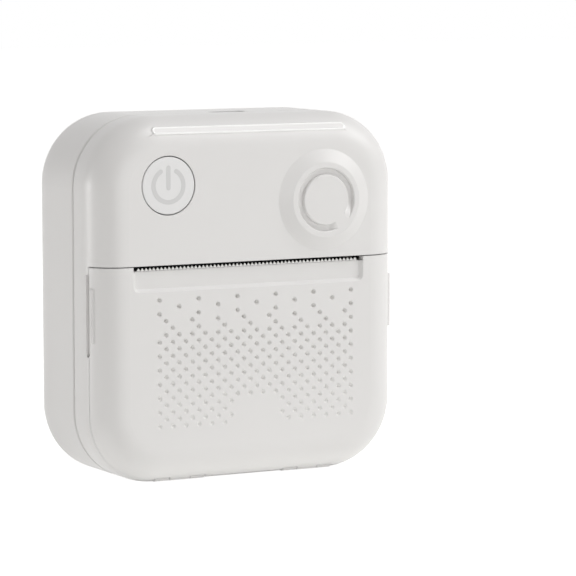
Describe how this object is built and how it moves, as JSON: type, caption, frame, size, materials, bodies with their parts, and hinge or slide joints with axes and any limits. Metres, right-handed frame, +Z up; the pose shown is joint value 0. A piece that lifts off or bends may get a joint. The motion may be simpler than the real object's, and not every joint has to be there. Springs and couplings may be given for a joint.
{
  "type": "portable thermal printer",
  "caption": "Pocket-size thermal printer with a rounded square body, a front cover hinged at the bottom, a toothed paper slot, a power button and a paper roll inside.",
  "frame": {"origin": "middle of the whole part's footprint, on the surface it stands on", "axes": "+X to the printer's right as seen from the front, +Y to the back, +Z up; the front face looks along -Y"},
  "size_m": [0.078, 0.0374, 0.0834],
  "materials": {
    "housing_plastic": "satin moulded ABS, warm white",
    "tear_bar_plastic": "moulded, white",
    "button_plastic": "satin moulded ABS, neutral white",
    "steel": "ground or zinc plated steel",
    "screw_steel": "nickel plated steel",
    "spring_steel": "rolled spring steel",
    "socket_steel": "drawn stainless shell",
    "aluminium": "extruded, plain",
    "brass": "machined",
    "bush_bronze": "sintered bronze",
    "platen_rubber": "ground silicone rubber, black",
    "gear_plastic": "moulded acetal, natural white",
    "frame_plastic": "moulded ABS, black",
    "head_ceramic": "glazed alumina",
    "circuit_board": "green solder mask on glass epoxy",
    "chip_plastic": "moulded epoxy, black",
    "battery_wrap": "silver-grey laminate pouch",
    "foam": "closed cell foam tape",
    "thermal_paper": "coated, white",
    "core_plastic": "black moulded core",
    "cable_film": "polyimide film"
  },
  "bodies": {
    "root": {"rear_shell": "housing_plastic", "front_shell": "housing_plastic", "hinge_pins": "steel", "gear_plate": "steel", "idler_pin": "steel", "feed_motor": "steel", "paper_bay": "frame_plastic", "head_pivot_pin": "steel", "head_springs": "spring_steel", "main_board": "circuit_board", "board_components": "chip_plastic", "power_switch": "chip_plastic", "charging_socket": "socket_steel", "battery_pack": "battery_wrap", "battery_pad": "foam", "paper_sensor": "chip_plastic", "head_cable": "cable_film", "case_screws": "screw_steel", "board_screws": "screw_steel", "bay_screws": "screw_steel"},
    "cover": {"front_cover": "housing_plastic", "tear_bar": "tear_bar_plastic", "platen_bushes": "bush_bronze"},
    "platen": {"platen_shaft": "steel", "platen_rubber": "platen_rubber", "platen_gear": "gear_plastic"},
    "idler": {"idler_gear": "gear_plastic"},
    "motor_rotor": {"motor_shaft": "steel", "motor_gear": "brass"},
    "head": {"print_head": "head_ceramic", "head_heatsink": "aluminium"},
    "roll": {"paper_roll": "thermal_paper", "roll_core": "core_plastic"},
    "button": {"power_button": "button_plastic", "switch_plunger": "chip_plastic"}
  },
  "joints": [
    {"name": "cover_hinge", "type": "hinge", "parent": "root", "child": "cover", "pos_m": [0, -0.01185, 0.00145], "axis": [1, 0, 0], "range_deg": [0, 78]},
    {"name": "platen_spin", "type": "hinge", "parent": "cover", "child": "platen", "pos_m": [0, -0.00995, 0.0446], "axis": [1, 0, 0], "continuous": true},
    {"name": "idler_spin", "type": "hinge", "parent": "root", "child": "idler", "pos_m": [0.0332, 0.00013, 0.0446], "axis": [1, 0, 0], "continuous": true},
    {"name": "motor_spin", "type": "hinge", "parent": "root", "child": "motor_rotor", "pos_m": [0.0332, 0.00747, 0.04884], "axis": [1, 0, 0], "continuous": true},
    {"name": "head_tilt", "type": "hinge", "parent": "root", "child": "head", "pos_m": [0, -0.00265, 0.0376], "axis": [-1, 0, 0], "range_deg": [0, 1.6], "stiffness_Nm_per_rad": 0.3, "springref_deg": -2.86},
    {"name": "roll_spin", "type": "hinge", "parent": "root", "child": "roll", "pos_m": [-0.00052, -0.00055, 0.019], "axis": [1, 0, 0], "continuous": true},
    {"name": "button_press", "type": "slide", "parent": "root", "child": "button", "axis": [0, 1, 0], "range_m": [0, 0.0006], "stiffness_N_per_m": 2000, "springref_m": -0.0002}
  ],
  "couplings": [
    {"joint": "idler_spin", "follows": "platen_spin", "ratio": -0.66667},
    {"joint": "motor_spin", "follows": "platen_spin", "ratio": 1.6667}
  ]
}
